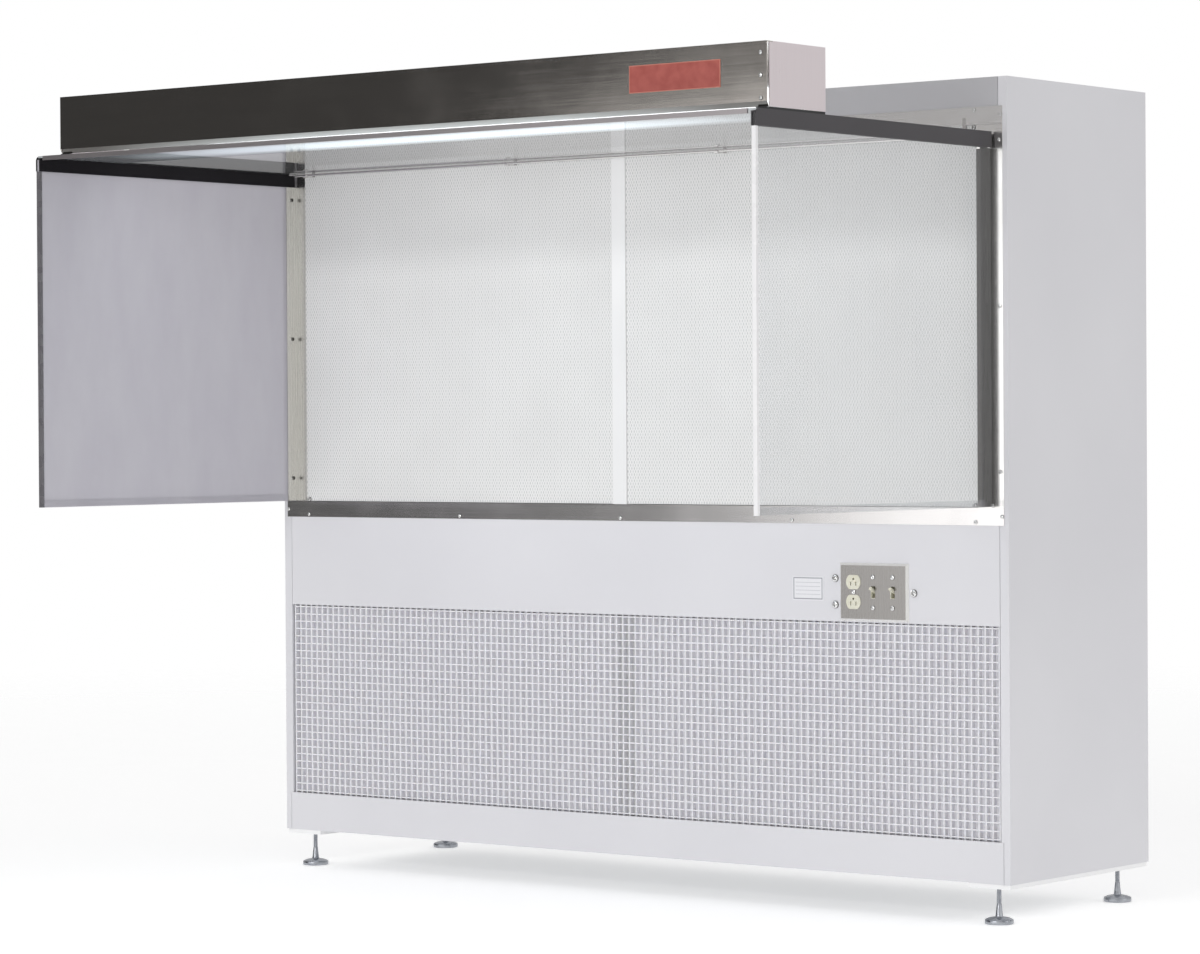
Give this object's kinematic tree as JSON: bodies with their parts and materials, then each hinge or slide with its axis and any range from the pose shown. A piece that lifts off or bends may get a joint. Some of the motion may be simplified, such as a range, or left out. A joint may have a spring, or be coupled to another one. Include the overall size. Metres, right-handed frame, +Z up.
{
  "type": "horizontal laminar-flow clean hood",
  "caption": "Console clean-air hood: filter cabinet on levelling feet, eggcrate intake, filter wall, clear side shields, lit stainless canopy and a switch plate.",
  "frame": {"origin": "on the floor under the middle of the whole hood, at the undersides of the levelling pads", "axes": "+X to the right of a person who faces the filters, +Y to the back, +Z up"},
  "size_m": [1.88, 1.286, 1.644],
  "materials": {
    "cabinet_paint": "satin powder coat, pale lavender grey",
    "galvanised": "satin",
    "motor_paint": "satin",
    "wheel_steel": "satin",
    "stainless": "brushed along its length",
    "front_bar_aluminium": "satin",
    "filter_aluminium": "satin",
    "filter_paper": "matte pleated",
    "screen_mesh": "white perforated sheet",
    "divider_white": "satin",
    "prefilter_fabric": "non-woven",
    "grille_white": "satin",
    "clear_acrylic": "clear polished",
    "rail_charcoal": "satin",
    "trim_white": "gloss",
    "diffuser_white": "lit white",
    "lamp_glass": "lit tube",
    "holder_white": "gloss",
    "ivory_plastic": "gloss",
    "sign_red": "satin, no lettering",
    "label_white": "matte, no lettering",
    "gland_black": "matte",
    "zinc": "bright zinc",
    "chrome": "bright"
  },
  "bodies": {
    "cabinet": {"back_panel": "cabinet_paint", "ballast": "motor_paint", "base_rail": "cabinet_paint", "blower_housing_left": "galvanised", "blower_housing_right": "galvanised", "blower_motor_left": "motor_paint", "blower_motor_right": "motor_paint", "bottom_pan": "galvanised", "box_screws": "chrome", "canopy_ends": "stainless", "canopy_fascia": "stainless", "canopy_shell": "stainless", "canopy_spacers": "rail_charcoal", "cord_gland": "gland_black", "device_box": "galvanised", "eggcrate_grille": "grille_white", "filter_divider": "divider_white", "filter_frame_left": "filter_aluminium", "filter_frame_right": "filter_aluminium", "filter_media": "filter_paper", "front_apron": "cabinet_paint", "front_bar": "front_bar_aluminium", "grille_tracks": "galvanised", "hanger_rod": "stainless", "header_strip": "stainless", "jamb_strips": "stainless", "lamp_diffuser": "diffuser_white", "lamp_holders": "holder_white", "lamp_tubes": "lamp_glass", "ledge_strip": "stainless", "name_plate": "sign_red", "panel_screws": "zinc", "plenum_shelf": "galvanised", "prefilters": "prefilter_fabric", "rail_left": "rail_charcoal", "rail_right": "rail_charcoal", "rating_label": "label_white", "rear_brackets": "stainless", "receptacle": "ivory_plastic", "rod_clips": "stainless", "roof_sheet": "clear_acrylic", "screen_left": "screen_mesh", "screen_right": "screen_mesh", "shield_left": "clear_acrylic", "shield_right": "clear_acrylic", "shield_trims": "trim_white", "side_panel_left": "cabinet_paint", "side_panel_right": "cabinet_paint", "skids": "galvanised", "switch_bodies": "ivory_plastic", "top_cover": "cabinet_paint", "wall_plate": "stainless"},
    "blower_wheel_left_body": {"blower_wheel_left": "wheel_steel"},
    "blower_wheel_right_body": {"blower_wheel_right": "wheel_steel"},
    "foot_front_left_body": {"foot_front_left": "zinc"},
    "foot_front_right_body": {"foot_front_right": "zinc"},
    "foot_rear_left_body": {"foot_rear_left": "zinc"},
    "foot_rear_right_body": {"foot_rear_right": "zinc"},
    "toggle_left_body": {"toggle_left": "ivory_plastic"},
    "toggle_right_body": {"toggle_right": "ivory_plastic"}
  },
  "joints": [
    {"name": "toggle_left_hinge", "type": "hinge", "parent": "cabinet", "child": "toggle_left_body", "pos_m": [0.6295, 0.1305, 0.6343], "axis": [1, 0, 0], "range_deg": [0, 48]},
    {"name": "toggle_right_hinge", "type": "hinge", "parent": "cabinet", "child": "toggle_right_body", "pos_m": [0.67554, 0.1305, 0.6343], "axis": [1, 0, 0], "range_deg": [0, 48]},
    {"name": "blower_wheel_left_spin", "type": "hinge", "parent": "cabinet", "child": "blower_wheel_left_body", "pos_m": [-0.47, 0.363, 0.44], "axis": [1, 0, 0], "continuous": true},
    {"name": "blower_wheel_right_spin", "type": "hinge", "parent": "cabinet", "child": "blower_wheel_right_body", "pos_m": [0.47, 0.363, 0.44], "axis": [1, 0, 0], "continuous": true},
    {"name": "foot_front_left_screw", "type": "slide", "parent": "cabinet", "child": "foot_front_left_body", "axis": [0, 0, 1], "range_m": [-0.02, 0.03]},
    {"name": "foot_front_right_screw", "type": "slide", "parent": "cabinet", "child": "foot_front_right_body", "axis": [0, 0, 1], "range_m": [-0.02, 0.03]},
    {"name": "foot_rear_left_screw", "type": "slide", "parent": "cabinet", "child": "foot_rear_left_body", "axis": [0, 0, 1], "range_m": [-0.02, 0.03]},
    {"name": "foot_rear_right_screw", "type": "slide", "parent": "cabinet", "child": "foot_rear_right_body", "axis": [0, 0, 1], "range_m": [-0.02, 0.03]}
  ]
}
